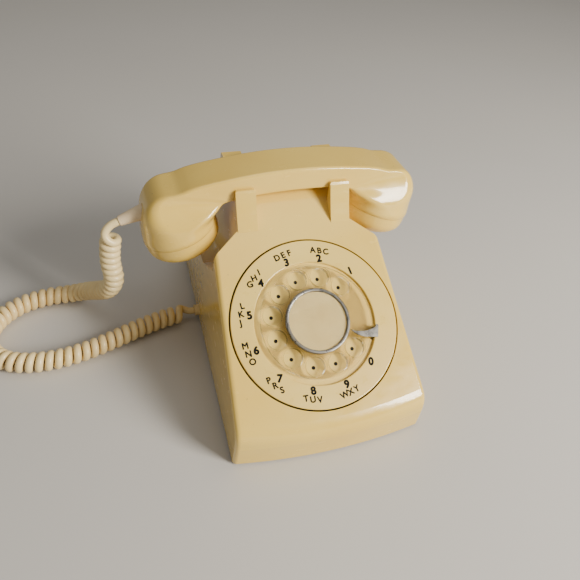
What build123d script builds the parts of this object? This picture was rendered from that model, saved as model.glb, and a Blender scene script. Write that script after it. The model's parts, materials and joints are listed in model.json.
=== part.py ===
from build123d import *
import os
from math import atan, cos, pi, radians, sin, tan

# A rotary desk telephone, in millimetres. It stands on z = 0, its front faces -Y, +X is its right
# side from the front, and the origin is under the middle of the object without its cord.

# Housing
WALL = 2.8
HOUSING_BOTTOM = 1.8
HALF_DEPTH = 115.5
CHIN_HEIGHT = 19.0
CHIN_TUCK = 2.0
CHIN_RADIUS = 14.0
CHIN_BOW = 380.0
SEAT_Z = 122.0
FRONT_HALF_WIDTH = 67.3
REAR_HALF_WIDTH = 58.5
DRAFT = 2.6
SIDE_EDGE_RADIUS = 3.5
SLOPE_TOP = (57.0, SEAT_Z)
SLOPE_WAIST = (70.0, 66.0)
REAR_TOP = (HALF_DEPTH, 36.0)

# Cradle ears and the room beside them for the handset's cups
EAR_INNER_X = 26.3
EAR_OUTER_X = 40.0
FRONT_EAR_FACE = 9.0
REAR_EAR_FACE = 43.0
FRONT_EAR_TOP = 132.6
REAR_EAR_TOP = 138.8
SCOOP_FRONT = ((40.0, -2.7), (59.3, -17.5))
SCOOP_TOP = 107.0
SCOOP_DRAFT = 6.0
SCOOP_FLOOR = [(-60, 112.0), (-14, 86.0), (22, 65.5), (60, 58.0), (125, 38.5)]
SCOOP_CORNER = 4.0
HAND_HOLD_HALF_WIDTH = 24.0

# Dial
TILT = 35.0
DIAL_CENTRE = (0.0, -58.5, 68.2)
PLATE_RADIUS = 57.0
OPENING_RADIUS = 58.1
DISH_RADIUS = 41.5
DISH_FLOOR = -1.6
WHEEL_RADIUS = 38.0
WHEEL_LOW = 1.2
WHEEL_TOP = 3.6
HOLE_CIRCLE = 30.05
HOLE_RADIUS = 6.5
HOLE_COUNT = 10
FIRST_HOLE = 45.0
HOLE_STEP = 30.0
CENTRE_RADIUS = 21.9
CARD_RADIUS = 19.7
SHAFT_RADIUS = 3.0
GEAR_MODULE = 1.0
MAIN_TEETH = 48
PULSE_TEETH = 12
SECOND_TEETH = 28
GOVERNOR_TEETH = 8
RUNNING_GAP = 0.05

# Handset
GRIP_Y = 26.0
GRIP_WIDTH = 32.0
GRIP_TOP = 143.2
GRIP_THICKNESS = 16.2
GRIP_ARCH = 335.0
CUP_X = 73.6
CUP_Z = 99.6
CUP_TILT = 17.0
CUP_RADIUS = 26.5
CAP_DEPTH = 16.5
SHELL_WALL = 2.6
MOUTH_OVERRUN = 1.5
REST_SHIFT = -2.1
REST_TILT = -1.5
REST_PIVOT = 125.0

# Handset cord
WIRE = 5.4
COIL = 15.0
CORD_EXIT = (-64.8, 35.0, 8.0)
BOOT_TIP = (-114.0, 26.0, 106.9)
BASE_LEAD = [CORD_EXIT, (-70.3, 35.0, 8.0), (-77.5, 33.4, 8.0)]
COIL_ROUTE = [
    (-77.5, 33.4, 8.0),
    (-95.0, 29.5, 8.0),
    (-116.0, 21.8, 8.0),
    (-139.0, 12.0, 8.0),
    (-163.0, 5.0, 8.0),
    (-188.0, 4.5, 8.0),
    (-209.0, 13.0, 8.0),
    (-219.5, 33.0, 8.0),
    (-214.0, 54.5, 8.0),
    (-197.0, 70.5, 8.0),
    (-175.0, 76.5, 8.0),
    (-157.0, 76.0, 8.0),
    (-144.0, 68.5, 15.0),
    (-134.5, 52.0, 27.5),
    (-127.0, 38.0, 39.5),
    (-122.0, 31.5, 54.0),
    (-124.5, 30.0, 73.0),
    (-121.2, 26.5, 92.5),
]
HANDSET_LEAD = [BOOT_TIP, (-119.4, 26.0, 105.03), (-124.2, 24.7, 100.3), (-125.9, 25.8, 94.2)]


def dial_direction():
    return (0, -sin(radians(TILT)), cos(radians(TILT)))


DIAL = Plane(origin=DIAL_CENTRE, x_dir=(1, 0, 0), z_dir=dial_direction()).location


def disc(radius, low, high):
    """A round plate about the local Z axis, between two heights."""
    return Pos(0, 0, (low + high) / 2) * Cylinder(radius, high - low)


def ring(outer, inner, low, high):
    return disc(outer, low, high) - disc(inner, low - 1, high + 1)


def block(low, high):
    """A box from its lowest corner to its highest."""
    size = [b - a for a, b in zip(low, high)]
    middle = [(a + b) / 2 for a, b in zip(low, high)]
    return Pos(*middle) * Box(*size)


def outline(points):
    return make_face(Polyline(*points, close=True))


def across(points, low_x, high_x):
    """An outline drawn in Y and Z, pushed along X."""
    return Pos(low_x, 0, 0) * extrude(Plane.YZ * outline(points), high_x - low_x)


def turned(points):
    """A solid of revolution about local Z, from an outline of radius and height."""
    return revolve(Plane.XZ * outline(points), Axis.Z)


def on_dial(shape, x=0.0, s=0.0):
    """Puts a shape on the dial: x to the right, s up the slope, and local Z out of the face."""
    return DIAL * Pos(x, s, 0) * shape


def face_height(y):
    """Height of the sloping face at a distance from front to back."""
    return DIAL_CENTRE[2] + (y - DIAL_CENTRE[1]) * tan(radians(TILT))


def half_width(y):
    """Half the housing's width at z = 0."""
    share = (y + HALF_DEPTH) / (2 * HALF_DEPTH)
    return FRONT_HALF_WIDTH + share * (REAR_HALF_WIDTH - FRONT_HALF_WIDTH)


# --- Housing ---


def side_view(inset, bottom):
    """The housing's outline from the side without its front: sloping face, seat, hollow back."""
    crest_y = DIAL_CENTRE[1] + (SEAT_Z - DIAL_CENTRE[2]) / tan(radians(TILT))
    far_front = -HALF_DEPTH - 30
    points = [
        (far_front, bottom),
        (far_front, face_height(far_front)),
        (crest_y, SEAT_Z),
        SLOPE_TOP,
        SLOPE_WAIST,
        REAR_TOP,
        (HALF_DEPTH, CHIN_HEIGHT),
        (HALF_DEPTH - 1, bottom),
    ]
    top = FilletPolyline(*points, radius=[0.5, 14, 4, 50, 10, 10])
    face = make_face(top + Line(points[-1], points[0]))
    return offset(face, -inset, kind=Kind.INTERSECTION) if inset else face


def front_drum(inset, bottom):
    """An upright drum whose near side is the bowed front wall, tucked in towards its foot."""
    bow = CHIN_BOW - inset
    foot_radius = bow - CHIN_TUCK * (CHIN_HEIGHT - bottom) / (CHIN_HEIGHT - HOUSING_BOTTOM)
    half = [(0, bottom), (foot_radius, bottom), (bow, CHIN_HEIGHT), (bow, 160), (0, 160)]
    return Pos(0, CHIN_BOW - HALF_DEPTH, 0) * turned(half)


def body(inset, bottom):
    """The housing's whole volume without its scoops, moved inwards by the inset."""
    length = 3 * HALF_DEPTH
    slab = extrude(Plane.YZ * side_view(inset, bottom), 100, both=True)
    slab &= front_drum(inset, bottom)
    brow = slab.edges().filter_by(lambda e: is_brow(e.center()))
    slab = fillet(brow, CHIN_RADIUS - inset)
    base = -10.0
    spread = -base * tan(radians(DRAFT)) - inset
    corners = []
    for side, y in ((-1, -length / 2), (1, -length / 2), (1, length / 2), (-1, length / 2)):
        corners.append((side * (half_width(y) + spread), y))
    prism = extrude(Pos(0, 0, base) * outline(corners), 170, taper=DRAFT)
    return slab & prism


def is_brow(centre):
    """Whether an edge runs along the top of the bowed front wall."""
    return centre.Y < -90 and 24 < centre.Z < 60 and abs(centre.X) < 20


def scoop(side, grow):
    """The room beside the ears, where a cup of the handset hangs."""
    top = 150.0
    lean = (top - SCOOP_TOP) * tan(radians(SCOOP_DRAFT))
    (inner_x, inner_y), (outer_x, outer_y) = SCOOP_FRONT
    slope = (outer_y - inner_y) / (outer_x - inner_x)
    forward = grow / cos(atan(slope)) + lean
    inner_x -= grow + lean
    start_y = SCOOP_FRONT[0][1] - forward + slope * (inner_x - SCOOP_FRONT[0][0])
    end_y = SCOOP_FRONT[0][1] - forward + slope * (95 - SCOOP_FRONT[0][0])
    plan = outline([(inner_x, start_y), (95, end_y), (95, 135), (inner_x, 135)])
    prism = extrude(Pos(0, 0, top) * plan, -(top - 20), taper=SCOOP_DRAFT)
    floor = [(y, z - grow) for y, z in SCOOP_FLOOR]
    above = across(floor + [(125, 200), (-60, 200)], 0, 120)
    room = prism & above
    if not grow:
        room = fillet(room.edges().filter_by(lambda e: is_scoop_foot(e.center())), SCOOP_CORNER)
    return room if side > 0 else mirror(room, Plane.YZ)


def is_scoop_foot(centre):
    """Whether an edge runs along the foot of the scoop's inner wall."""
    return 30 < centre.Z < 80 and 36 < centre.X < 52 and 0 < centre.Y < 120


def front_ear(side):
    base_y = -3.5
    points = [
        (base_y, face_height(base_y) - 0.5),
        (1.6, 118.5),
        (6.2, FRONT_EAR_TOP - 1.4),
        (7.2, FRONT_EAR_TOP),
        (8.8, FRONT_EAR_TOP),
        (FRONT_EAR_FACE, FRONT_EAR_TOP - 0.6),
        (FRONT_EAR_FACE, SEAT_Z - 3),
        (FRONT_EAR_FACE, face_height(FRONT_EAR_FACE) - 6),
        (base_y, face_height(base_y) - 2.5),
    ]
    ear = across(points, EAR_INNER_X, EAR_OUTER_X)
    top_corners = ear.edges().filter_by(Axis.Y).filter_by(lambda e: e.center().Z > FRONT_EAR_TOP - 0.1)
    ear = fillet(top_corners, 1.2)
    return ear if side > 0 else mirror(ear, Plane.YZ)


def rear_ear(side):
    points = [
        (REAR_EAR_FACE, SEAT_Z - 2.5),
        (REAR_EAR_FACE, REAR_EAR_TOP - 1.2),
        (REAR_EAR_FACE + 1.2, REAR_EAR_TOP),
        (REAR_EAR_FACE + 6.4, REAR_EAR_TOP),
        (REAR_EAR_FACE + 8.0, REAR_EAR_TOP - 1.6),
        (SLOPE_TOP[0] - 0.6, SEAT_Z - 2.5),
    ]
    ear = across(points, EAR_INNER_X, EAR_OUTER_X)
    return ear if side > 0 else mirror(ear, Plane.YZ)


def hand_hold(grow):
    """The recess behind the seat, between the rear ears, for carrying the telephone."""
    front = 36.0 - grow
    floor = 98.0 - grow
    points = [(front, 150), (front, floor), (100, floor - 12), (100, 150)]
    reach = HAND_HOLD_HALF_WIDTH + grow
    recess = across(points, -reach, reach)
    corners = recess.edges().filter_by(lambda e: e.center().Y < 99 and e.center().Z < 149)
    return fillet(corners, 5.0)


SCREW_PLACES = [(-53.0, -96.0), (53.0, -96.0), (-45.0, 97.0), (45.0, 97.0)]
SCREW_RADIUS = 1.9
PLUNGER_X = 32.6
PLUNGER_RADIUS = 3.6
PLUNGER_TOP = 123.9
GROMMET_PLACE = (30.0, 9.0)
GROMMET_RADIUS = 5.0


def housing():
    outer = body(0, HOUSING_BOTTOM)
    walls = outer.faces().filter_by(lambda f: abs(f.normal_at().X) > 0.9)
    rims = walls.edges().filter_by(lambda e: e.center().Z > HOUSING_BOTTOM + 0.1)
    outer = fillet(rims, SIDE_EDGE_RADIUS)
    inner = body(WALL, -8)
    for side in (-1, 1):
        outer -= scoop(side, 0)
        inner -= scoop(side, WALL)
    outer -= hand_hold(0)
    inner -= hand_hold(WALL)
    shell = outer - inner
    for side in (-1, 1):
        shell += front_ear(side) + rear_ear(side)
        shell -= Pos(side * PLUNGER_X, GRIP_Y, 0) * disc(PLUNGER_RADIUS + 0.5, 100, 140)
    for x, y in SCREW_PLACES:
        boss = Pos(x, y, 0) * disc(5.0, 6.5, 60) & outer
        shell += boss
        shell -= Pos(x, y, 0) * disc(SCREW_RADIUS + RUNNING_GAP, 0, 16)
    shell -= on_dial(disc(OPENING_RADIUS, -12, 12))
    shell -= Pos(*VOLUME_PLACE, 0) * disc(VOLUME_RADIUS + 0.6, 0, 3.2)
    shell -= Pos(-62, CORD_EXIT[1], CORD_EXIT[2]) * Rot(0, 90, 0) * Cylinder(4.5, 20)
    grommet_x, grommet_z = GROMMET_PLACE
    shell -= Pos(grommet_x, HALF_DEPTH, grommet_z) * Rot(90, 0, 0) * Cylinder(GROMMET_RADIUS, 20)
    return shell


def base_plate():
    """The steel floor, just inside the housing's lower edge."""
    corners = []
    for side, y in ((-1, -103.0), (1, -103.0), (1, 103.5), (-1, 103.5)):
        corners.append((side * (half_width(y) - WALL - 1.2), y))
    floor = extrude(Pos(0, 0, 3.4) * outline(corners), 1.6)
    floor = fillet(floor.edges().filter_by(Axis.Z), 6)
    for x, y in SCREW_PLACES:
        floor -= Pos(x, y, 0) * disc(SCREW_RADIUS + 0.3, 0, 10)
    floor -= Pos(*VOLUME_PLACE, 0) * disc(2.0 + RUNNING_GAP, 0, 10)
    return floor - Pos(-57, CORD_EXIT[1], CORD_EXIT[2]) * Rot(0, 90, 0) * Cylinder(5.4, 10)


VOLUME_PLACE = (49.6, 24.0)
VOLUME_RADIUS = 12.5
FOOT_PLACES = {
    "front_left": (-44, -82),
    "front_right": (44, -82),
    "rear_left": (-40, 82),
    "rear_right": (40, 82),
}


def foot(x, y):
    return Pos(x, y, 0) * turned([(0, 0), (6.5, 0), (8, 1.2), (8, 3.4), (0, 3.4)])


def cover_screw(x, y):
    head = disc(3.6, 1.2, 3.4)
    slot = block((-4, -0.4, 1.0), (4, 0.4, 2.0))
    return Pos(x, y, 0) * (head - slot + disc(SCREW_RADIUS, 3.4, 15))


# --- Dial ---


def finger_places():
    """Centres of the ten finger holes on the dial, in order from 1 to 0."""
    places = []
    for i in range(HOLE_COUNT):
        angle = radians(FIRST_HOLE + i * HOLE_STEP)
        places.append((HOLE_CIRCLE * cos(angle), HOLE_CIRCLE * sin(angle)))
    return places


def number_plate():
    """A dished round plate with a low rim, nearly flush with the housing's face."""
    plate = disc(PLATE_RADIUS, DISH_FLOOR - 1.6, 0.5)
    plate -= disc(DISH_RADIUS, DISH_FLOOR, 5)
    plate -= ring(PLATE_RADIUS + 1, DISH_RADIUS + 2, DISH_FLOOR - 5, -1.2)
    plate -= disc(8, -10, 5)
    plate = fillet(plate.edges().filter_by(lambda e: abs(e.center().Z - 0.5) < 0.01), 0.6)
    return on_dial(plate - stop_leg(0.4, -10, 5))


STOP_ANGLE = -18.9
STOP_LEVEL = 5.8
STOP_SHEET = 1.4


def stop_leg(grow, low, high):
    """The finger stop's flat leg, beyond the wheel's edge, or with a growth the slot for it."""
    leg = block((39.3 - grow, -4.2 - grow, low), (40.6 + grow, 4.2 + grow, high))
    return Rot(0, 0, STOP_ANGLE) * leg


def finger_stop():
    """A curved steel hook over the wheel, folded down into its leg."""
    tip, top_corner, low_corner, belly = (20.4, -9.6), (40.1, -9.4), (37.8, -17.4), (29.0, -15.7)
    edge = ThreePointArc(tip, (30.5, -11.9), top_corner) + Line(top_corner, low_corner)
    edge += Line(low_corner, belly) + ThreePointArc(belly, (24.2, -13.3), tip)
    hook = extrude(Pos(0, 0, STOP_LEVEL) * make_face(edge), STOP_SHEET)
    return on_dial(hook + stop_leg(0, FRAME_TOP - 2.4, STOP_LEVEL + STOP_SHEET))


def finger_wheel():
    """The clear wheel, with a raised rim round each hole."""
    wheel = disc(WHEEL_RADIUS, WHEEL_LOW, WHEEL_TOP)
    wheel += ring(CENTRE_RADIUS, CARD_RADIUS + 0.6, WHEEL_TOP, WHEEL_TOP + 0.8)
    for x, y in finger_places():
        wheel += Pos(x, y, 0) * disc(HOLE_RADIUS + 1.1, WHEEL_TOP, WHEEL_TOP + 0.9)
    for x, y in finger_places():
        wheel -= Pos(x, y, 0) * disc(HOLE_RADIUS, 0, 9)
    wheel -= disc(SHAFT_RADIUS + RUNNING_GAP, 0, 9)
    return on_dial(wheel)


def card_ring():
    """The polished ring that holds the number card, with two small notches."""
    collar = ring(CENTRE_RADIUS, CARD_RADIUS, WHEEL_TOP + 0.8, WHEEL_TOP + 2.6)
    collar = fillet(collar.edges().filter_by(lambda e: e.center().Z > WHEEL_TOP + 2.5), 0.7)
    for side in (-1, 1):
        collar -= block((side * 21.6 - 0.8, -1.6, WHEEL_TOP + 1.6), (side * 21.6 + 0.8, 1.6, WHEEL_TOP + 4))
    return on_dial(collar)


def number_card():
    return on_dial(disc(CARD_RADIUS - 0.2, WHEEL_TOP + 0.1, WHEEL_TOP + 0.9))


def card_cover():
    """A thin clear dome over the card."""
    low, high = 1.0, 2.7
    dome_radius = 160.0
    disc = Pos(0, 0, (low + high) / 2) * Cylinder(CARD_RADIUS - 0.1, high - low)
    dome = disc & Pos(0, 0, high - dome_radius) * Sphere(dome_radius)
    return on_dial(Pos(0, 0, WHEEL_TOP) * dome)


def dial_shaft():
    return on_dial(disc(SHAFT_RADIUS, -27.5, WHEEL_TOP) + disc(5.0, -1.4, WHEEL_LOW))


def gear(teeth, low, high, bore=0.0, turn=0.0):
    """A spur gear with plain tapered teeth, thin enough to run freely."""
    pitch = GEAR_MODULE * teeth / 2
    root = pitch - 1.15 * GEAR_MODULE
    tip = pitch + 0.8 * GEAR_MODULE
    step = 360 / teeth
    points = []
    for i in range(teeth):
        for share, radius in ((-0.30, root), (-0.11, tip), (0.11, tip), (0.30, root)):
            angle = radians(turn + (i + share) * step)
            points.append((radius * cos(angle), radius * sin(angle)))
    wheel = Pos(0, 0, low) * extrude(outline(points), high - low)
    return wheel - disc(bore, low - 1, high + 1) if bore else wheel


PULSE_ANGLE = 250.0
PULSE_DISTANCE = GEAR_MODULE * (MAIN_TEETH + PULSE_TEETH) / 2 + 0.15
PULSE_PLACE = (PULSE_DISTANCE * cos(radians(PULSE_ANGLE)), PULSE_DISTANCE * sin(radians(PULSE_ANGLE)))
GOVERNOR_ANGLE = 0.0
GOVERNOR_DISTANCE = GEAR_MODULE * (SECOND_TEETH + GOVERNOR_TEETH) / 2 + 0.15
GOVERNOR_PLACE = (
    PULSE_PLACE[0] + GOVERNOR_DISTANCE * cos(radians(GOVERNOR_ANGLE)),
    PULSE_PLACE[1] + GOVERNOR_DISTANCE * sin(radians(GOVERNOR_ANGLE)),
)
FRAME_TOP = -4.0
REAR_PLATE_TOP = -23.5


def gap_turn(driver_angle, teeth):
    """Turns a gear so that a tooth gap, and not a tooth, meets the driver's tooth."""
    return driver_angle + 180 + 180 / teeth


def dial_gear():
    main = gear(MAIN_TEETH, -10.5, -8.5, SHAFT_RADIUS, turn=PULSE_ANGLE)
    return on_dial(main + ring(6, SHAFT_RADIUS, -8.5, -6.8))


def pulse_gear():
    """The pinion, the larger gear behind it and the two-lobed cam, on one spindle."""
    pinion = gear(PULSE_TEETH, -11, -8, turn=gap_turn(PULSE_ANGLE, PULSE_TEETH))
    second = gear(SECOND_TEETH, -14.5, -12.8, turn=GOVERNOR_ANGLE)
    cam = disc(4.2, -19, -16.5) + block((-6.2, -1.6, -19), (6.2, 1.6, -16.5))
    spindle = disc(1.2, REAR_PLATE_TOP - 1.6, FRAME_TOP - 0.2)
    return on_dial(pinion + second + cam + spindle, *PULSE_PLACE)


def governor():
    """The fast shaft, with two small weights that fly out inside the cup."""
    pinion = gear(GOVERNOR_TEETH, -15.2, -12.2, turn=gap_turn(GOVERNOR_ANGLE, GOVERNOR_TEETH))
    shaft = disc(1.2, -33.5, FRAME_TOP - 0.2)
    arm = block((-5.5, -1.0, -32.2), (5.5, 1.0, -29.2))
    for side in (-1, 1):
        arm += Pos(side * 5.2, 0, 0) * disc(1.9, -32.2, -29.2)
    return on_dial(pinion + shaft + arm, *GOVERNOR_PLACE)


def governor_cup():
    cup = ring(9.6, 8.4, -34.6, -27.2) + ring(9.6, 1.8, REAR_PLATE_TOP - 4, REAR_PLATE_TOP - 2)
    return on_dial(cup, *GOVERNOR_PLACE)


STUD_ANGLES = [100.0, 200.0, 330.0]
STUD_CIRCLE = 34.0


def dial_frame():
    """The round casting behind the number plate, and the rim that the plate rests on."""
    frame = disc(39, FRAME_TOP - 2, FRAME_TOP)
    frame += ring(50, 38.5, FRAME_TOP - 2, FRAME_TOP + 0.7)
    frame -= disc(SHAFT_RADIUS + RUNNING_GAP, -20, 5)
    for place in (PULSE_PLACE, GOVERNOR_PLACE):
        frame -= Pos(*place, 0) * disc(1.2 + RUNNING_GAP, -20, 5)
    return on_dial(frame - stop_leg(RUNNING_GAP, -20, 5))


def dial_rear_plate():
    plate = disc(37, REAR_PLATE_TOP - 2, REAR_PLATE_TOP)
    plate -= disc(SHAFT_RADIUS + RUNNING_GAP, -40, 5)
    for place in (PULSE_PLACE, GOVERNOR_PLACE):
        plate -= Pos(*place, 0) * disc(1.2 + RUNNING_GAP, -40, 5)
    return on_dial(plate)


def dial_stud(angle):
    x = STUD_CIRCLE * cos(radians(angle))
    s = STUD_CIRCLE * sin(radians(angle))
    return on_dial(disc(2.5, REAR_PLATE_TOP, FRAME_TOP - 2), x, s)


def dial_spring():
    """The flat coiled return spring, as a set of turns round the main shaft."""
    turns = [ring(4.6 + i * 1.6, 3.8 + i * 1.6, -18, -13) for i in range(5)]
    bridge = block((4.0, -0.5, -16.5), (10.8, 0.5, -14.5))
    tail = block((10.5, -0.5, REAR_PLATE_TOP), (12.0, 0.5, -14.5))
    return on_dial(sum(turns[1:], turns[0]) + bridge + tail)


def pulse_contacts():
    """The leaf contacts beside the cam, on an insulating block."""
    stack = block((-5, -3, REAR_PLATE_TOP), (5, 3, -17))
    for i in range(3):
        stack += block((5, -2.4 + i * 2.0, -21), (17, -1.8 + i * 2.0, -18.6))
    return on_dial(Rot(0, 0, 30) * stack, -26, -6)


def dial_bracket(side):
    """The folded strip that carries the dial down to the base plate."""
    x = side * 47.0
    points = [(-66, 5), (-30, 5), (-30, 6.6), (-46, 6.6), (-46, 62), (-48, 62), (-66, 47.5)]
    strip = across(points, x - 1, x + 1)
    under_dial = on_dial(disc(80, FRAME_TOP - 42, FRAME_TOP - 2.1))
    return strip & under_dial


# --- Hook switch ---

HOOK_AXIS = (56.0, 84.0)
HOOK_LEVEL = 88.0


def plunger(side):
    """The button under the handset and its stem, pressed down at rest."""
    stem = disc(PLUNGER_RADIUS, 113.0, PLUNGER_TOP) + disc(2.2, HOOK_LEVEL + 1.6, 113.0)
    collar = disc(4.3, 98.0, 100.0)
    return Pos(side * PLUNGER_X, GRIP_Y, 0) * (stem + collar)


def hook_lever():
    """The U-shaped lever that both plungers press, on a cross shaft behind them."""
    y, z = HOOK_AXIS
    shaft = Pos(0, y, z) * Rot(0, 90, 0) * Cylinder(1.6, 66)
    lever = shaft
    for side in (-1, 1):
        x = side * 28.0
        hub = [(y - 2.5, z - 2.5), (y + 2.5, z - 2.5), (y + 2.5, z + 2.5)]
        arm = [(31, 89.2), (22, 89.2), (22, 87.6), (31, 87.6)]
        lever += across(hub + arm, x - 1, x + 1)
        lever += block((min(x, x + side * 7), 22, 87.6), (max(x, x + side * 7), 31, 89.2))
    return lever


def hook_frame():
    """The bracket that carries the lever's shaft between two ears."""
    y, z = HOOK_AXIS
    frame = block((-17.5, y - 7, 5.0), (17.5, y - 4.5, 74)) - block((-7, y - 8, 11), (7, y, 26))
    for side in (-1, 1):
        x = side * 16.5
        frame += block((x - 1, y - 7, 66), (x + 1, y + 5, z + 5))
    frame += block((-17.5, y - 7, 5.0), (17.5, y + 4, 6.6))
    return frame - Pos(0, y, z) * Rot(0, 90, 0) * Cylinder(1.6 + RUNNING_GAP, 80)


def hook_contacts():
    """The pile of leaf contacts that the lever works."""
    y = HOOK_AXIS[0] - 7
    pile = block((-9, y - 8, 40), (9, y, 52))
    for i in range(4):
        pile += block((-7, y - 7 + i * 1.8, 52), (7, y - 6.5 + i * 1.8, 72))
    return pile


def hook_spring():
    """The return spring, as a small coil beside the frame."""
    y, z = HOOK_AXIS
    return Pos(0, y, z) * Rot(0, 90, 0) * ring(3.6, 2.2, -8, 8)


# --- Ringer ---

GONG_PLACES = {"left": (-24.0, 76.0), "right": (24.0, 76.0)}
GONG_RADIUS = 21.0


def gong(x, y):
    inner_radius = GONG_RADIUS - 1.4
    outside = [(0, 16), (9, 16), (17, 13.5), (GONG_RADIUS, 7), (GONG_RADIUS, 1)]
    inside = [(inner_radius, 1), (inner_radius, 6.6), (16.2, 12.2), (8.8, 14.6), (0, 14.6)]
    shell = turned(outside + inside)
    return Pos(x, y, 10) * (shell - disc(2.1, 0, 30))


def gong_post(x, y):
    post = disc(3.2, 5.0, 24.5)
    return Pos(x, y, 0) * (post + disc(2.0, 24.5, 27.5) + disc(4.2, 26.1, 28.2))


RINGER_AXIS = (0.0, 44.5)


def ringer_frame():
    frame = block((-17, 14, 5.0), (17, 41, 6.6))
    for side in (-1, 1):
        x = side * 16.0
        frame += block((x - 1, 14, 6.6), (x + 1, 41, 27))
    return frame


def ringer_coil():
    x_axis = Rot(0, 90, 0)
    return Pos(0, 27, 17) * x_axis * (disc(9.4, -12, 12) + disc(3, -15, 15))


def clapper():
    x, y = RINGER_AXIS
    rod = block((-0.8, 0, 17.2), (0.8, 23, 18.8)) + Pos(0, 24, 18) * Sphere(2.6)
    return Pos(x, y, 0) * (rod + disc(2.4, 6.8, 20) + block((-9, -1, 12), (9, 1, 15)))


def volume_wheel():
    """The knurled wheel under the right edge that sets the bell's loudness."""
    wheel = disc(VOLUME_RADIUS, 0.9, 2.7)
    for i in range(24):
        wheel -= Rot(0, 0, i * 15) * Pos(VOLUME_RADIUS, 0, 0) * disc(0.6, 0, 4)
    return Pos(*VOLUME_PLACE, 0) * (wheel + disc(2.0, 2.7, 5.6))


# --- Works on the base plate ---


def network_block():
    case = block((-36, -34, 5.0), (20, 8, 25))
    case = fillet(case.edges().filter_by(Axis.Z), 3)
    return case + block((-33, -31, 25), (17, 5, 26.5))


def terminal_screw(i):
    x, y = -26 + i * 18, -26
    head = disc(2.6, 26.5, 28.4) - block((-3, -0.4, 27.6), (3, 0.4, 29))
    return Pos(x, y, 0) * head


def cord_gland():
    """The collar in the left wall, where the handset cord goes in."""
    low, high = -64.8, -55.0
    collar = Pos((low + high) / 2, 0, 0) * Rot(0, 90, 0) * Cylinder(4.4, high - low)
    flange = Pos(-56.8, 0, 0) * Rot(0, 90, 0) * Cylinder(5.0, 1.6)
    return Pos(0, CORD_EXIT[1], CORD_EXIT[2]) * (collar + flange)


def line_grommet():
    """The open grommet in the back wall, for a line cord."""
    sleeve = ring(GROMMET_RADIUS - RUNNING_GAP, 3.0, -4, 4)
    flange = ring(GROMMET_RADIUS + 1.4, 3.0, -4, -2.6)
    return Pos(GROMMET_PLACE[0], HALF_DEPTH - 4.6, GROMMET_PLACE[1]) * Rot(-90, 0, 0) * (sleeve + flange)


# --- Handset ---


def arch_top(x):
    """Height of the grip's top at a distance from its middle."""
    return GRIP_TOP - x * x / (2 * GRIP_ARCH)


def cup_frame(side):
    """Where a cup's mouth is: local Z points up into the cup and away from the middle."""
    lean = radians(CUP_TILT)
    x_dir = (cos(lean), 0, -side * sin(lean))
    z_dir = (side * sin(lean), 0, cos(lean))
    return Plane(origin=(side * CUP_X, GRIP_Y, CUP_Z), x_dir=x_dir, z_dir=z_dir).location


def handset_sections(overrun):
    """Half of the handset's sections, from a cup's mouth to the grip's middle.

    Each has its outer and inner point in X and Z, its half width and its corners' radius. The
    overrun carries the first one past the mouth.
    """
    lean = radians(CUP_TILT)
    across_x, across_z = CUP_RADIUS * cos(lean), CUP_RADIUS * sin(lean)
    mouth_x, mouth_z = CUP_X - overrun * sin(lean), CUP_Z - overrun * cos(lean)
    mouth_out = (mouth_x + across_x, mouth_z - across_z)
    mouth_in = (mouth_x - across_x, mouth_z + across_z)
    under = GRIP_THICKNESS
    half = GRIP_WIDTH / 2
    return [
        (mouth_out, mouth_in, CUP_RADIUS, CUP_RADIUS - 0.2),
        ((99.6, 99.5), (49.0, 112.0), CUP_RADIUS - 0.1, 25.2),
        ((99.3, 107.5), (48.4, 115.4), 25.2, 21.0),
        ((98.0, 116.0), (47.2, 118.4), 22.4, 13.6),
        ((94.8, 124.2), (45.4, 121.0), 18.4, 7.6),
        ((89.2, 130.4), (43.4, 122.8), 16.4, 4.4),
        ((80.0, arch_top(80) - 0.3), (40.0, 124.0), half + 0.1, 3.0),
        ((64.0, arch_top(64)), (34.5, arch_top(34.5) - under), half, 2.4),
        ((45.0, arch_top(45)), (29.0, arch_top(29) - under), half, 2.2),
        ((22.0, arch_top(22)), (18.0, arch_top(18) - under), half, 2.0),
        ((0.0, arch_top(0)), (0.0, arch_top(0) - under), half, 2.0),
    ]


def handset_section(spec, side, inset):
    """One rounded section, in the plane of its outer and inner points and of Y."""
    (outer_x, outer_z), (inner_x, inner_z), half, corner = spec
    outer = Vector(side * outer_x, GRIP_Y, outer_z)
    inner = Vector(side * inner_x, GRIP_Y, inner_z)
    along = (outer - inner).normalized()
    plane = Plane(origin=(outer + inner) / 2, x_dir=along, z_dir=along.cross(Vector(0, 1, 0)))
    height = (outer - inner).length - 2 * inset
    return plane * RectangleRounded(height, 2 * (half - inset), max(corner - inset, 0.8))


def handset_solid(inset):
    """The whole handset's volume, round at its cups and square along its grip."""
    specs = handset_sections(MOUTH_OVERRUN if inset else 0)
    sections = [handset_section(spec, 1, inset) for spec in specs]
    sections += [handset_section(spec, -1, inset) for spec in reversed(specs[:-1])]
    return loft(sections)


def at_rest(shape):
    """Lays the handset in the cradle, a little to the left and with its right end up."""
    return Pos(REST_SHIFT, 0, REST_PIVOT) * Rot(0, REST_TILT, 0) * Pos(0, 0, -REST_PIVOT) * shape


def handset_shell():
    return handset_solid(0) - handset_solid(SHELL_WALL)


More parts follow.
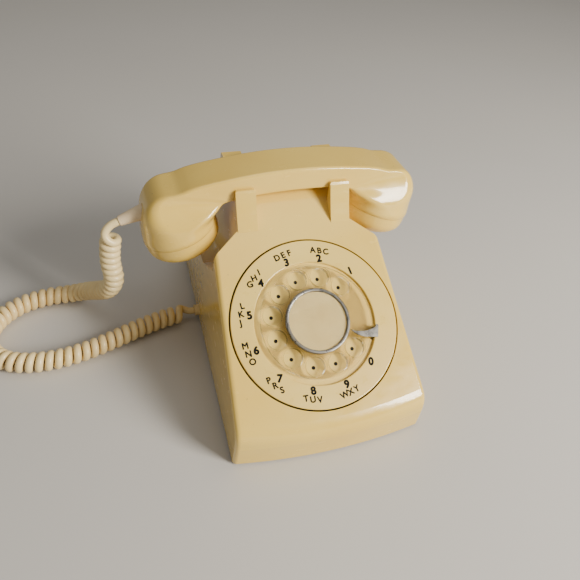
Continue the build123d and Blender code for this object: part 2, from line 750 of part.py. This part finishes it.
def cap(side, holes):
    """A screw-on cap with a rounded edge, sound holes and a short collar inside the cup."""
    r, d = CUP_RADIUS, CAP_DEPTH
    bend = [(r, -2.0), (0.955 * r, -0.62 * d), (0.72 * r, -0.97 * d), (0.3 * r, -d)]
    lines = Line((r, -0.2), (r, -2.0)) + Spline(*bend, tangents=((0, -1), (-1, 0)))
    lines += Line((0.3 * r, -d), (0, -d)) + Line((0, -d), (0, -0.2)) + Line((0, -0.2), (r, -0.2))
    solid = revolve(Plane.XZ * make_face(lines), Axis.Z)
    hollow = disc(r - 4.6, -0.45 * d, 0) + disc(0.72 * r, -d + 2.6, 0)
    solid -= hollow
    solid += ring(r - SHELL_WALL - 1.0, r - SHELL_WALL - 2.4, -3, 3)
    for x, y in holes:
        solid -= Pos(x, y, 0) * disc(1.3, -d - 2, 0)
    return cup_frame(side) * solid


def hole_rings(rings):
    """Places on circles, as pairs of circle radius and number of holes."""
    places = [(0.0, 0.0)]
    for radius, count in rings:
        for i in range(count):
            places.append((radius * cos(2 * pi * i / count), radius * sin(2 * pi * i / count)))
    return places


def capsule(side, radius, low, high):
    body_ring = disc(radius, low, high) + disc(radius - 5, high, high + 3)
    return cup_frame(side) * body_ring


def boot():
    """The tapered sleeve where the cord leaves the handset."""
    start, tip = Vector(-97.0, GRIP_Y, 112.8), Vector(*BOOT_TIP)
    direction = tip - start
    length = direction.length
    cone = Pos(0, 0, length / 2) * Cone(5.6, 3.5, length)
    sleeve = Plane(origin=start, z_dir=direction).location * cone
    return sleeve - at_rest(handset_solid(0))


# --- Cord ---


def corner_radii(points):
    """The largest arcs that each corner's two runs allow."""
    radii = []
    for a, b, c in zip(points, points[1:], points[2:]):
        before, after = Vector(b) - Vector(a), Vector(c) - Vector(b)
        turn = radians(before.get_angle(after))
        radii.append(0.45 * min(before.length, after.length) / tan(turn / 2))
    return radii


def cord_tube(name, points, diameter):
    """A round tube along straight runs joined by tangent arcs."""
    radii = corner_radii(points)
    path = FilletPolyline(*points, radius=radii) if radii else Line(*points)
    section = Plane(origin=path @ 0, z_dir=path % 0) * Circle(diameter / 2)
    solid = sweep(section, path)
    share = solid.volume / (pi * diameter**2 / 4 * path.length)
    rounded = [round(r, 1) for r in radii]
    print(name, "length", round(path.length, 1), "volume share", round(share, 4), rounded)
    return solid


def save(name, shape):
    export_step(shape, f"parts/{name}.step")


def build_housing():
    save("housing", housing())
    save("base_plate", base_plate())
    for place, (x, y) in FOOT_PLACES.items():
        save(f"foot_{place}", foot(x, y))
    for i, (x, y) in enumerate(SCREW_PLACES):
        save(f"cover_screw_{i + 1}", cover_screw(x, y))
    save("cord_gland", cord_gland())
    save("line_cord_grommet", line_grommet())


def build_dial():
    save("number_plate", number_plate())
    save("finger_stop", finger_stop())
    save("finger_wheel", finger_wheel())
    save("card_ring", card_ring())
    save("number_card", number_card())
    save("card_cover", card_cover())
    save("dial_shaft", dial_shaft())
    save("dial_gear", dial_gear())
    save("pulse_gear", pulse_gear())
    save("governor", governor())
    save("governor_cup", governor_cup())
    save("dial_frame", dial_frame())
    save("dial_rear_plate", dial_rear_plate())
    for i, angle in enumerate(STUD_ANGLES):
        save(f"dial_stud_{i + 1}", dial_stud(angle))
    save("dial_spring", dial_spring())
    save("pulse_contacts", pulse_contacts())
    save("dial_bracket_left", dial_bracket(-1))
    save("dial_bracket_right", dial_bracket(1))


def build_works():
    for name, side in (("left", -1), ("right", 1)):
        save(f"plunger_{name}", plunger(side))
        save(f"gong_{name}", gong(*GONG_PLACES[name]))
        save(f"gong_post_{name}", gong_post(*GONG_PLACES[name]))
    save("hook_lever", hook_lever())
    save("hook_frame", hook_frame())
    save("hook_contacts", hook_contacts())
    save("hook_spring", hook_spring())
    save("ringer_frame", ringer_frame())
    save("ringer_coil", ringer_coil())
    save("clapper", clapper())
    save("volume_wheel", volume_wheel())
    save("network_block", network_block())
    for i in range(3):
        save(f"terminal_screw_{i + 1}", terminal_screw(i))


def build_handset():
    save("handset_shell", at_rest(handset_shell()))
    save("mouthpiece_cap", at_rest(cap(-1, hole_rings([(6, 6), (12, 12)]))))
    save("earpiece_cap", at_rest(cap(1, hole_rings([(5, 6)]))))
    save("transmitter", at_rest(capsule(-1, 18.4, -13.4, -4.0)))
    save("receiver", at_rest(capsule(1, 18.4, -13.4, -2.0)))
    save("cord_boot", boot())


def build_cord():
    save("cord_base_lead", cord_tube("base lead", BASE_LEAD, WIRE))
    save("cord_coil", cord_tube("coil", COIL_ROUTE, COIL))
    save("cord_handset_lead", cord_tube("handset lead", HANDSET_LEAD, WIRE))


os.makedirs("parts", exist_ok=True)
build_housing()
build_dial()
build_works()
build_handset()
build_cord()
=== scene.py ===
import json
import math

import bmesh
import bpy
from mathutils import Matrix, Vector


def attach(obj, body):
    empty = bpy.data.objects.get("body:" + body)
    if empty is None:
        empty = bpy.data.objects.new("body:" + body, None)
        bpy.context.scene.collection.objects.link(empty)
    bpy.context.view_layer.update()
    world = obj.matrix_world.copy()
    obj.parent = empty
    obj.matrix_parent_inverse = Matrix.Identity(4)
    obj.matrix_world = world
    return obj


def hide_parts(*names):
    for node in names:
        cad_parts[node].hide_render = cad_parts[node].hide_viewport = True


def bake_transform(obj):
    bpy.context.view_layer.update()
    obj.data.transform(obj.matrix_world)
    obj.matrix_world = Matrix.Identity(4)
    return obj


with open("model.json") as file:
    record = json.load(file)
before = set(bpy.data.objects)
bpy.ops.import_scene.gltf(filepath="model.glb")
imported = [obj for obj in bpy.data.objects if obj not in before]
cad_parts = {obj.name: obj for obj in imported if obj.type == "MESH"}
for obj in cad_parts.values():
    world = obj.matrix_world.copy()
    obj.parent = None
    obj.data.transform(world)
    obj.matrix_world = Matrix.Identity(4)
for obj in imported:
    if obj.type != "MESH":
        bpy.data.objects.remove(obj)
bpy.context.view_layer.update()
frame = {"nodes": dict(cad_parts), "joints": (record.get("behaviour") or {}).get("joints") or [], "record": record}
cad_nodes = frame["nodes"]
joints = {joint["name"]: joint for joint in frame["joints"]}

MM = 0.001

# --- Camera ---

CAMERA_PLACE = Vector((-0.12228, -0.31858, 0.3384))
CAMERA_YAW = math.radians(21.34)
CAMERA_PITCH = math.radians(40.47)
CAMERA_ROLL = math.radians(5.89)
CAMERA_LENS = 36.97


def make_camera():
    yaw, pitch, roll = CAMERA_YAW, CAMERA_PITCH, CAMERA_ROLL
    ahead = Vector((math.sin(yaw) * math.cos(pitch), math.cos(yaw) * math.cos(pitch), -math.sin(pitch)))
    level = Vector((math.cos(yaw), -math.sin(yaw), 0))
    upright = level.cross(ahead)
    right = math.cos(roll) * level + math.sin(roll) * upright
    up = math.cos(roll) * upright - math.sin(roll) * level
    data = bpy.data.cameras.new("camera")
    data.lens = CAMERA_LENS
    data.clip_start = 0.01
    camera = bpy.data.objects.new("camera", data)
    bpy.context.scene.collection.objects.link(camera)
    turned = Matrix((right, up, -ahead)).transposed().to_4x4()
    camera.matrix_world = Matrix.Translation(CAMERA_PLACE) @ turned
    bpy.context.scene.camera = camera


# --- Curly cord ---

WIRE_RADIUS = 2.75 * MM
COIL_RADIUS = 4.75 * MM
LOOSE_PITCH = 6.3 * MM
TIGHT_PITCH = 5.9 * MM
LOOSE_BELOW = 10 * MM
TIGHT_ABOVE = 30 * MM
UNEVENNESS = 0.035
QUICK_WAVE = 0.021
SLOW_WAVE = 0.0047
CORD_EXIT = (-0.0648, 0.0350, 0.0080)
COIL_ROUTE = [
    CORD_EXIT,
    (-0.0703, 0.0350, 0.0080),
    (-0.0775, 0.0334, 0.0080),
    (-0.0950, 0.0295, 0.0080),
    (-0.1160, 0.0218, 0.0080),
    (-0.1390, 0.0120, 0.0080),
    (-0.1630, 0.0050, 0.0080),
    (-0.1880, 0.0045, 0.0080),
    (-0.2090, 0.0130, 0.0080),
    (-0.2195, 0.0330, 0.0080),
    (-0.2140, 0.0545, 0.0080),
    (-0.1970, 0.0705, 0.0080),
    (-0.1750, 0.0765, 0.0080),
    (-0.1570, 0.0760, 0.0080),
    (-0.1440, 0.0685, 0.0150),
    (-0.1345, 0.0520, 0.0275),
    (-0.1270, 0.0380, 0.0395),
    (-0.1220, 0.0315, 0.0540),
    (-0.1245, 0.0300, 0.0730),
    (-0.1212, 0.0265, 0.0940),
]
BOOT_TIP = (-0.1140, 0.0260, 0.1069)
HANDSET_LEAD = [
    (-0.1247, 0.0228, 0.0955),
    (-0.1255, 0.0238, 0.0995),
    (-0.1206, 0.0256, 0.1046),
    BOOT_TIP,
    (-0.1120, 0.0260, 0.1076),
]
COIL_END_TURN = math.radians(235)
RAMP_START = 3 * MM
RAMP_END = 13 * MM
CURL_START = 8 * MM
CURL_END = 17 * MM
BRIDGE_CUT = 5 * MM
BRIDGE_PULL = 1.1
WIRE_STEP = 1.15 * MM
ROUTE_STEP = 0.35 * MM
WIRE_SIDES = 12


def spline_line(points):
    """The points of a smooth line that follows a route's control points."""
    curve = bpy.data.curves.new("route", "CURVE")
    curve.dimensions = "3D"
    curve.resolution_u = 32
    spline = curve.splines.new("NURBS")
    spline.points.add(len(points) - 1)
    for point, place in zip(spline.points, points):
        point.co = (*place, 1)
    spline.order_u = 3
    spline.use_endpoint_u = True
    holder = bpy.data.objects.new("route", curve)
    mesh = bpy.data.meshes.new_from_object(holder)
    line = [vertex.co.copy() for vertex in mesh.vertices]
    bpy.data.objects.remove(holder)
    bpy.data.curves.remove(curve)
    bpy.data.meshes.remove(mesh)
    return line


def even_line(line, step):
    """The same line with its points an even step apart."""
    total = sum((b - a).length for a, b in zip(line, line[1:]))
    count = max(2, round(total / step))
    result = [line[0].copy()]
    gone, index = 0.0, 0
    for i in range(1, count):
        target = total * i / count
        while gone + (line[index + 1] - line[index]).length < target:
            gone += (line[index + 1] - line[index]).length
            index += 1
        share = (target - gone) / (line[index + 1] - line[index]).length
        result.append(line[index].lerp(line[index + 1], share))
    result.append(line[-1].copy())
    return result


def directions(line):
    """A side and an upward direction at each point, carried along the line without twist."""
    ahead = [(b - a).normalized() for a, b in zip(line, line[1:])]
    ahead.append(ahead[-1])
    side = ahead[0].cross(Vector((0, 0, 1))).normalized()
    result = []
    for direction in ahead:
        side = (side - direction * side.dot(direction)).normalized()
        result.append((direction, side, direction.cross(side)))
    return result


def smooth_share(value, low, high):
    share = min(max((value - low) / (high - low), 0.0), 1.0)
    return share * share * (3 - 2 * share)


def coil_line():
    """The wire's line along the curl: straight out of the body, then round and round."""
    line = even_line(spline_line(COIL_ROUTE), ROUTE_STEP)
    axes = directions(line)
    turn, turns = 0.0, []
    for point in line:
        pitch = LOOSE_PITCH + (TIGHT_PITCH - LOOSE_PITCH) * smooth_share(point.z, LOOSE_BELOW, TIGHT_ABOVE)
        turns.append(turn)
        curled = smooth_share(len(turns) * ROUTE_STEP, CURL_START, CURL_END)
        turn -= 2 * math.pi * ROUTE_STEP / pitch * curled
    wanted = Vector((math.cos(COIL_END_TURN), math.sin(COIL_END_TURN), 0))
    side, up = axes[-1][1], axes[-1][2]
    start = math.atan2(wanted.dot(up), wanted.dot(side)) - turns[-1]
    wire = []
    for i, (point, angle) in enumerate(zip(line, turns)):
        radius = COIL_RADIUS * smooth_share(i * ROUTE_STEP, RAMP_START, RAMP_END)
        wobble = 1 + UNEVENNESS * math.sin(i * QUICK_WAVE) * math.sin(i * SLOW_WAVE)
        side, up = axes[i][1], axes[i][2]
        offset = math.cos(start + angle) * side + math.sin(start + angle) * up
        wire.append(point + offset * radius * wobble)
    return wire


def bridged(first, second, cut):
    """Two lines as one. A smooth bend takes the place of a short length at the ends that meet."""
    step = (second[1] - second[0]).length
    count = round(cut / step)
    first, second = first[:-count], second[count:]
    start, end = first[-1], second[0]
    reach = BRIDGE_PULL * (end - start).length
    leaving = (first[-1] - first[-2]).normalized() * reach
    arriving = (second[1] - second[0]).normalized() * reach
    bend = []
    for i in range(1, count):
        t = i / count
        start_share = 2 * t**3 - 3 * t**2 + 1
        bend.append(start_share * start + (1 - start_share) * end
                    + (t**3 - 2 * t**2 + t) * leaving + (t**3 - t**2) * arriving)
    return first + bend + second


def tube(name, line, radius, sides):
    """A closed mesh tube round a line."""
    mesh = bpy.data.meshes.new(name)
    build = bmesh.new()
    rings = []
    for point, (_, side, up) in zip(line, directions(line)):
        ring = []
        for i in range(sides):
            angle = 2 * math.pi * i / sides
            ring.append(build.verts.new(point + radius * (math.cos(angle) * side + math.sin(angle) * up)))
        rings.append(ring)
    for first, second in zip(rings, rings[1:]):
        for i in range(sides):
            k = (i + 1) % sides
            build.faces.new((first[i], first[k], second[k], second[i]))
    build.faces.new(reversed(rings[0]))
    build.faces.new(rings[-1])
    bmesh.ops.recalc_face_normals(build, faces=build.faces)
    build.to_mesh(mesh)
    build.free()
    mesh.shade_smooth()
    return new_object(name, mesh)


def new_object(name, data):
    piece = bpy.data.objects.new(name, data)
    bpy.context.scene.collection.objects.link(piece)
    return piece


def make_cord():
    curl = even_line(coil_line(), ROUTE_STEP)
    lead = even_line(spline_line(HANDSET_LEAD), ROUTE_STEP)
    wire = even_line(bridged(curl, lead, BRIDGE_CUT), WIRE_STEP)
    cord = tube("curly_cord", wire, WIRE_RADIUS, WIRE_SIDES)
    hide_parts("cord_base_lead", "cord_coil", "cord_handset_lead")
    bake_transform(cord)
    return cord


make_camera()
cord = make_cord()

# --- Materials ---


class Nodes:
    """A material with a Principled shader, and short calls that add nodes to it."""

    def __init__(self, name, colour, roughness, **sockets):
        self.material = bpy.data.materials.new(name)
        self.material.use_nodes = True
        self.tree = self.material.node_tree
        self.shader = self.tree.nodes["Principled BSDF"]
        self.shader.inputs["Base Color"].default_value = (*colour, 1)
        self.shader.inputs["Roughness"].default_value = roughness
        for label, value in sockets.items():
            self.shader.inputs[label.replace("_", " ")].default_value = value
        self.place = self.tree.nodes.new("ShaderNodeTexCoord").outputs["Object"]

    def link(self, source, target):
        self.tree.links.new(source, target)

    def noise(self, scale, detail=3.0, stretch=None):
        node = self.tree.nodes.new("ShaderNodeTexNoise")
        node.inputs["Scale"].default_value = scale
        node.inputs["Detail"].default_value = detail
        place = self.place
        if stretch:
            mapping = self.tree.nodes.new("ShaderNodeMapping")
            mapping.inputs["Scale"].default_value = stretch
            self.link(place, mapping.inputs["Vector"])
            place = mapping.outputs["Vector"]
        self.link(place, node.inputs["Vector"])
        return node.outputs["Fac"]

    def ramp(self, value, low, high, low_value=0.0, high_value=1.0):
        node = self.tree.nodes.new("ShaderNodeMapRange")
        node.inputs["From Min"].default_value = low
        node.inputs["From Max"].default_value = high
        node.inputs["To Min"].default_value = low_value
        node.inputs["To Max"].default_value = high_value
        self.link(value, node.inputs["Value"])
        return node.outputs["Result"]

    def mix(self, share, first, second):
        node = self.tree.nodes.new("ShaderNodeMix")
        node.data_type = "RGBA"
        self.link(share, node.inputs["Factor"])
        for socket, value in ((node.inputs[6], first), (node.inputs[7], second)):
            if isinstance(value, tuple):
                socket.default_value = (*value, 1)
            else:
                self.link(value, socket)
        return node.outputs[2]

    def colour(self, value):
        self.link(value, self.shader.inputs["Base Color"])

    def roughness(self, value):
        self.link(value, self.shader.inputs["Roughness"])

    def bump(self, value, strength, distance=0.0002):
        node = self.tree.nodes.new("ShaderNodeBump")
        node.inputs["Strength"].default_value = strength
        node.inputs["Distance"].default_value = distance
        self.link(value, node.inputs["Height"])
        self.link(node.outputs["Normal"], self.shader.inputs["Normal"])


def aged_plastic(name, colour, yellow, roughness, dirt=0.5):
    """Glossy moulded plastic that has yellowed unevenly, with specks of dirt and fine handling marks."""
    nodes = Nodes(name, colour, roughness, Coat_Weight=0.6, Coat_Roughness=0.06, IOR=1.52)
    clouds = nodes.ramp(nodes.noise(14, 4), 0.35, 0.68)
    tone = nodes.mix(clouds, colour, yellow)
    specks = nodes.ramp(nodes.noise(520, 2), 0.72, 0.80, 0.0, dirt)
    stained = nodes.mix(specks, tone, (0.30, 0.20, 0.09))
    smears = nodes.ramp(nodes.noise(38, 6), 0.60, 0.78, 0.0, 0.25 * dirt)
    nodes.colour(nodes.mix(smears, stained, (0.42, 0.30, 0.15)))
    handling = nodes.noise(90, 5, (1, 1, 2.5))
    nodes.roughness(nodes.ramp(handling, 0.3, 0.8, roughness - 0.05, roughness + 0.12))
    nodes.bump(nodes.noise(160, 3), 0.05)
    return nodes.material


def brushed_metal(name, colour, roughness, scale=(60, 900, 60)):
    nodes = Nodes(name, colour, roughness, Metallic=1.0)
    streaks = nodes.noise(1, 4, scale)
    nodes.roughness(nodes.ramp(streaks, 0.3, 0.7, roughness, roughness + 0.16))
    dark = tuple(0.72 * part for part in colour)
    nodes.colour(nodes.mix(nodes.ramp(nodes.noise(45, 5), 0.45, 0.75), colour, dark))
    nodes.bump(streaks, 0.03)
    return nodes.material


def clear_plastic():
    """Clear acrylic with a faint haze of scratches. Some of the light goes straight through."""
    # The yellow-brown tint in this base colour is painted shade: it darkens and browns the dial's dish and
    # anything else seen through the wheel.
    nodes = Nodes("clear_plastic", (0.96, 0.91, 0.80), 0.05, Transmission_Weight=1.0, IOR=1.49, Alpha=0.82)
    scratches = nodes.noise(120, 8, (1, 5, 1))
    nodes.roughness(nodes.ramp(scratches, 0.45, 0.8, 0.03, 0.22))
    nodes.bump(nodes.noise(60, 3), 0.06)
    return nodes.material


def cord_vinyl():
    nodes = Nodes("cord_vinyl", (0.82, 0.65, 0.33), 0.36, Coat_Weight=0.25, Coat_Roughness=0.2)
    tone = nodes.mix(nodes.ramp(nodes.noise(9, 3), 0.40, 0.68), (0.84, 0.67, 0.34), (0.78, 0.57, 0.25))
    grime = nodes.ramp(nodes.noise(70, 6), 0.60, 0.78, 0.0, 0.28)
    nodes.colour(nodes.mix(grime, tone, (0.52, 0.38, 0.22)))
    nodes.roughness(nodes.ramp(nodes.noise(200, 4), 0.3, 0.7, 0.30, 0.50))
    nodes.bump(nodes.noise(900, 2), 0.06)
    return nodes.material


def boot_vinyl():
    nodes = Nodes("boot_vinyl", (0.74, 0.58, 0.36), 0.55)
    clouds = nodes.ramp(nodes.noise(60, 5), 0.4, 0.7)
    nodes.colour(nodes.mix(clouds, (0.76, 0.60, 0.38), (0.67, 0.50, 0.30)))
    nodes.bump(nodes.noise(700, 3), 0.1)
    return nodes.material


def card_stock():
    """Yellowed card with faint smudges where writing has worn away."""
    nodes = Nodes("card_stock", (0.97, 0.81, 0.42), 0.62)
    tone = nodes.mix(nodes.ramp(nodes.noise(70, 4), 0.42, 0.70), (0.97, 0.81, 0.42), (0.92, 0.73, 0.34))
    marks = nodes.ramp(nodes.noise(330, 5, (1, 2.2, 2.2)), 0.62, 0.78, 0.0, 0.30)
    nodes.colour(nodes.mix(marks, tone, (0.50, 0.38, 0.20)))
    nodes.bump(nodes.noise(1500, 2), 0.05)
    return nodes.material


def dark_material(name, colour, roughness, scale, **sockets):
    """Black rubber, moulded plastic or printing ink, with a little wear."""
    nodes = Nodes(name, colour, roughness, **sockets)
    worn = tuple(2.4 * part + 0.004 for part in colour)
    nodes.colour(nodes.mix(nodes.ramp(nodes.noise(scale, 4), 0.5, 0.8), colour, worn))
    nodes.roughness(nodes.ramp(nodes.noise(2 * scale, 3), 0.3, 0.7, roughness - 0.08, roughness + 0.12))
    nodes.bump(nodes.noise(4 * scale, 2), 0.08)
    return nodes.material


def milky_plastic():
    nodes = Nodes("milky_plastic", (0.80, 0.74, 0.60), 0.30, Subsurface_Weight=0.3, Subsurface_Scale=0.004)
    clouds = nodes.ramp(nodes.noise(150, 3), 0.4, 0.7)
    nodes.colour(nodes.mix(clouds, (0.82, 0.76, 0.62), (0.72, 0.62, 0.44)))
    return nodes.material


IVORY = (0.78, 0.55, 0.125)
DEEP_IVORY = (0.75, 0.50, 0.095)
PLATE_IVORY = (0.79, 0.57, 0.145)
DEEP_PLATE_IVORY = (0.75, 0.51, 0.11)

FINISHES = {
    "ivory_plastic": aged_plastic("ivory_plastic", IVORY, DEEP_IVORY, 0.20),
    "plate_plastic": aged_plastic("plate_plastic", PLATE_IVORY, DEEP_PLATE_IVORY, 0.30, 0.4),
    "clear_plastic": clear_plastic(),
    "chrome": brushed_metal("worn_chrome", (0.26, 0.25, 0.23), 0.22, (200, 200, 200)),
    "card": card_stock(),
    "steel": brushed_metal("plated_steel", (0.50, 0.50, 0.50), 0.35),
    "zinc": brushed_metal("cast_zinc", (0.46, 0.46, 0.46), 0.50, (150, 150, 150)),
    "brass": brushed_metal("turned_brass", (0.62, 0.44, 0.18), 0.28),
    "rubber": dark_material("black_rubber", (0.020, 0.020, 0.020), 0.75, 120),
    "black_plastic": dark_material("black_plastic", (0.022, 0.022, 0.024), 0.42, 90),
    "cord_vinyl": cord_vinyl(),
    "button_plastic": milky_plastic(),
}
INK = dark_material("printing_ink", (0.003, 0.003, 0.003), 0.70, 260, Specular_IOR_Level=0.15)
BOOT_FINISH = boot_vinyl()


def dress_frame():
    """Gives every CAD node the finish of its slot."""
    for subpart in frame["record"]["subparts"]:
        piece = cad_nodes[subpart["node"]]
        finish = FINISHES[subpart["material_slot"]]
        if subpart["node"] == "cord_boot":
            finish = BOOT_FINISH
        for material_slot in piece.material_slots:
            material_slot.link = "OBJECT"
            material_slot.material = finish


# --- Printing on the dial ---

dial_axis = -Vector(joints["dial_turn"]["axis"]).normalized()
dial_slope = dial_axis.cross(Vector((1, 0, 0)))
DIAL = Matrix.Translation(Vector(joints["dial_turn"]["pos_m"]))
DIAL = DIAL @ Matrix((Vector((1, 0, 0)), dial_slope, dial_axis)).transposed().to_4x4()
RIM_TOP = 0.5 * MM
DISH_FLOOR = -1.6 * MM
PRINT_DEPTH = 0.05 * MM
PRINT_LAYER = 0.002 * MM
THICKENING_COPIES = 8
DIGIT_THICKENING = 0.42 * MM
LETTER_THICKENING = 0.24 * MM
DIGIT_CIRCLE = 44.75 * MM
LETTER_CIRCLE = 50.3 * MM
DIGIT_HEIGHT = 5.1 * MM
LETTER_HEIGHT = 4.15 * MM
CAPITAL_SHARE = 0.729
FIRST_HOLE = 45
HOLE_STEP = 30
HOLE_CIRCLE = 30.05 * MM
DOT_RADIUS = 1.35 * MM
DIGIT_LEANS = {"1": 11, "7": -9, "3": 4, "9": 4, "0": -6}
LETTER_GROUPS = {
    "2": ("ABC", -5),
    "3": ("DEF", 14),
    "4": ("GHI", 12),
    "5": ("JKL", 4),
    "6": ("MNO", 2),
    "7": ("PRS", 9),
    "8": ("TUV", -2),
    "9": ("WXY", 18),
}


def print_mark(build, text, angle, radius, height, lean, weight):
    """Adds one printed character to a mesh, at a place on the dial's rim.

    Copies shifted to each side thicken its strokes; each lies a little higher than the last.
    """
    curve = bpy.data.curves.new("mark", "FONT")
    curve.body = text
    curve.size = height / CAPITAL_SHARE
    curve.extrude = PRINT_DEPTH
    curve.align_x = "CENTER"
    holder = bpy.data.objects.new("mark", curve)
    mesh = bpy.data.meshes.new_from_object(holder)
    turn = math.radians(angle)
    place = Matrix.Translation((radius * math.cos(turn), radius * math.sin(turn), RIM_TOP))
    upright = Matrix.Rotation(math.radians(lean), 4, "Z")
    for i in range(THICKENING_COPIES):
        around = 2 * math.pi * i / THICKENING_COPIES
        shift = (weight * math.cos(around), weight * math.sin(around) - height / 2, i * PRINT_LAYER)
        copy = mesh.copy()
        copy.transform(DIAL @ place @ upright @ Matrix.Translation(shift))
        build.from_mesh(copy)
        bpy.data.meshes.remove(copy)
    bpy.data.objects.remove(holder)
    bpy.data.curves.remove(curve)
    bpy.data.meshes.remove(mesh)


def printed_piece(name, build):
    mesh = bpy.data.meshes.new(name)
    build.to_mesh(mesh)
    build.free()
    mesh.materials.append(INK)
    piece = new_object(name, mesh)
    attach(piece, "base")
    return piece


def make_digits():
    build = bmesh.new()
    for i, digit in enumerate("1234567890"):
        angle = FIRST_HOLE + i * HOLE_STEP
        lean = DIGIT_LEANS.get(digit, 0)
        print_mark(build, digit, angle, DIGIT_CIRCLE, DIGIT_HEIGHT, lean, DIGIT_THICKENING)
    printed_piece("dial_digits", build)


def make_letters():
    build = bmesh.new()
    for i, digit in enumerate("1234567890"):
        if digit not in LETTER_GROUPS:
            continue
        middle = FIRST_HOLE + i * HOLE_STEP
        letters, lean = LETTER_GROUPS[digit]
        spread = 4.9 + 1.5 * abs(math.cos(math.radians(middle)))
        order = -1 if middle < 180 else 1
        for k, letter in enumerate(letters):
            angle = middle + order * (k - 1) * spread
            print_mark(build, letter, angle, LETTER_CIRCLE, LETTER_HEIGHT, lean, LETTER_THICKENING)
    printed_piece("dial_letters", build)


def make_dots():
    build = bmesh.new()
    for i in range(len("1234567890")):
        turn = math.radians(FIRST_HOLE + i * HOLE_STEP)
        place = Matrix.Translation((HOLE_CIRCLE * math.cos(turn), HOLE_CIRCLE * math.sin(turn), DISH_FLOOR))
        bmesh.ops.create_cone(build, cap_ends=True, segments=32, radius1=DOT_RADIUS,
                              radius2=0.94 * DOT_RADIUS, depth=2 * PRINT_DEPTH, matrix=DIAL @ place)
    printed_piece("dial_dots", build)


# --- Stage ---

FLOOR_HALF = 3.0


def make_floor():
    mesh = bpy.data.meshes.new("floor")
    build = bmesh.new()
    bmesh.ops.create_grid(build, x_segments=2, y_segments=2, size=FLOOR_HALF)
    build.to_mesh(mesh)
    build.free()
    floor = new_object("floor", mesh)
    nodes = Nodes("floor", (0.55, 0.53, 0.50), 0.75)
    nodes.colour(nodes.mix(nodes.noise(3, 3), (0.56, 0.54, 0.51), (0.52, 0.50, 0.47)))
    mesh.materials.append(nodes.material)


def area_light(name, place, target, width, height, power, colour=(1, 1, 1)):
    data = bpy.data.lights.new(name, "AREA")
    data.shape = "RECTANGLE"
    data.size = width
    data.size_y = height
    data.energy = power
    data.color = colour
    light = bpy.data.objects.new(name, data)
    bpy.context.scene.collection.objects.link(light)
    direction = Vector(target) - Vector(place)
    light.location = place
    light.rotation_euler = direction.to_track_quat("-Z", "Y").to_euler()


def make_lights():
    middle = (0, 0, 0.08)
    area_light("window", (0.757, -0.903, 0.66), middle, 0.40, 0.66, 34, (1.0, 0.95, 0.86))
    area_light("ceiling", (0.3, 0.1, 1.7), middle, 1.4, 1.4, 7, (1.0, 0.96, 0.88))
    area_light("left_fill", (-1.3, -0.7, 0.8), middle, 0.9, 0.9, 1.2, (1.0, 0.97, 0.92))
    world = bpy.data.worlds.new("world")
    bpy.context.scene.world = world
    world.use_nodes = True
    background = world.node_tree.nodes["Background"]
    background.inputs["Color"].default_value = (0.90, 0.88, 0.84, 1)
    background.inputs["Strength"].default_value = 0.22


cord.data.materials.append(FINISHES["cord_vinyl"])
dress_frame()
make_digits()
make_letters()
make_dots()
make_floor()
make_lights()
